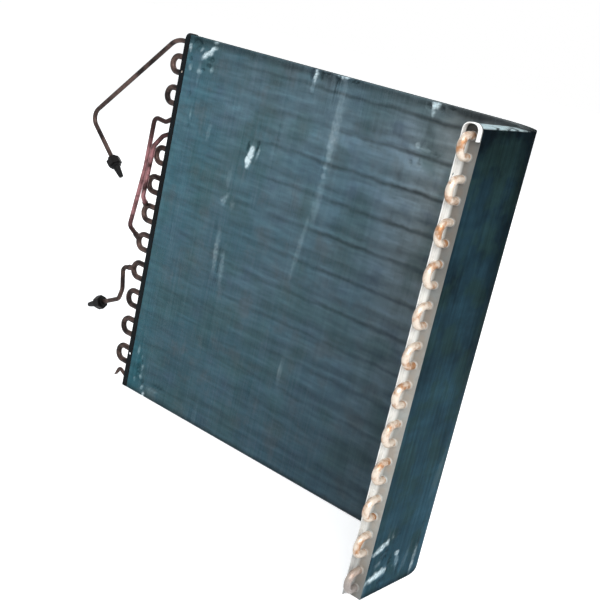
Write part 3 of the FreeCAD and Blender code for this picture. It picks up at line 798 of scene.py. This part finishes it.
return_bends = ~thin_pipes & (np.arange(TUBE_ROWS) != STUB_TUBE)
ring_set("left_plate_collars", COLLAR, left_web, LEFTWARD, dark_plate)
ring_set("right_plate_collars", COLLAR, right_web, PAST_SHORT_LEG, galvanised)
ring_set("bend_braze", BEND_BRAZE, mouths[return_bends], LEFTWARD, brazing_alloy)
ring_set("thin_pipe_braze", THIN_BRAZE, mouths[thin_pipes], LEFTWARD, brazing_alloy)

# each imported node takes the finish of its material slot, but the two loops have their own
FINISHES = {
    "bright_copper": bright_copper,
    "tarnished_copper": torched_copper,
    "galvanised_plate": galvanised,
    "dark_plate": dark_plate,
    "blackened_nut": black_brass,
    "black_plug": black_plastic,
}
for part in frame["record"]["subparts"]:
    finish = FINISHES.get(part["material_slot"])
    if part["node"] in ("jumper_pipe", "bypass_pipe"):
        finish = reddened_copper
    if finish:
        node = frame["nodes"][part["node"]]
        node.data.materials.clear()
        node.data.materials.append(finish)


# floor, world, lamps and camera

def stage_plane(name, size, height):
    """A level square of floor, its size and height in metres."""
    half = size / 2
    corners = [(-half, -half, height), (half, -half, height), (half, half, height), (-half, half, height)]
    mesh = bpy.data.meshes.new(name)
    mesh.from_pydata(corners, [], [(0, 1, 2, 3)])
    plane = bpy.data.objects.new(name, mesh)
    bpy.context.scene.collection.objects.link(plane)
    return plane


def pale_floor():
    """Matt white studio floor that keeps shadows; seen directly or mirrored it is lifted to white."""
    made, tree = material("pale_floor")
    path = add(tree, "LightPath").outputs
    seen = add(tree, "Math", [path["Is Camera Ray"], path["Is Glossy Ray"]], operation="MAXIMUM")
    glow = add(tree, "Math", [seen, 0.66], operation="MULTIPLY")
    shader = add(
        tree, "BsdfPrincipled",
        {"Base Color": "#e4e6e8", "Roughness": 0.9, "Emission Color": "#ffffff", "Emission Strength": glow},
    )
    add(tree, "OutputMaterial", {"Surface": shader})
    return made


# the floor lies half a millimetre under the coil
floor = stage_plane("floor", 30.0, -0.5 * MM)
floor.data.materials.append(pale_floor())

# the world gives a soft plain light, and white where it is seen directly, mirrored or through glass
world = bpy.data.worlds.new("studio")
bpy.context.scene.world = world
world.use_nodes = True
sky = world.node_tree
sky.nodes.clear()
path = add(sky, "LightPath").outputs
seen = add(sky, "Math", [path["Is Camera Ray"], path["Is Glossy Ray"]], operation="MAXIMUM")
seen = add(sky, "Math", [seen, path["Is Transmission Ray"]], operation="MAXIMUM")
soft = add(sky, "Background", {"Color": "#f7fcff", "Strength": 0.45})
white = add(sky, "Background", {"Color": "#ffffff", "Strength": 1.0})
add(sky, "OutputWorld", {"Surface": add(sky, "MixShader", [seen, soft, white])})


def soft_lamp(name, place, target, size, power):
    """A square white area lamp at a place, facing a target; its size is in metres, its power in watts."""
    data = bpy.data.lights.new(name, "AREA")
    data.shape = "SQUARE"
    data.size = size
    data.energy = power
    lamp = bpy.data.objects.new(name, data)
    bpy.context.scene.collection.objects.link(lamp)
    lamp.location = place
    away = np.array(place) - np.array(target)
    lamp.rotation_euler = (
        math.atan2(math.hypot(away[0], away[1]), away[2]),
        0.0,
        math.atan2(away[1], away[0]) + math.pi / 2,
    )


MIDDLE = (0.3, 0.0, 0.3)
SHORT_LEG_MIDDLE = (0.6, -0.2, 0.3)
soft_lamp("key", (2.0, -2.2, 2.6), MIDDLE, 2.4, 84.0)
soft_lamp("fill", (3.0, -0.9, 1.5), SHORT_LEG_MIDDLE, 1.6, 24.0)
soft_lamp("back", (-1.4, 2.4, 2.2), MIDDLE, 2.4, 50.0)

camera_data = bpy.data.cameras.new("camera")
camera = bpy.data.objects.new("camera", camera_data)
bpy.context.scene.collection.objects.link(camera)
# 15 degrees above the coil and rolled 12 degrees, as the photograph was taken
camera.location = (1.23628, -1.24530, 0.69805)
camera.rotation_euler = tuple(math.radians(angle) for angle in (74.2265, -12.3064, 39.8405))
camera_data.sensor_width = 36.0
camera_data.lens = 63.62
camera_data.clip_start = 0.05
bpy.context.scene.camera = camera
bpy.context.scene.view_settings.view_transform = "Standard"
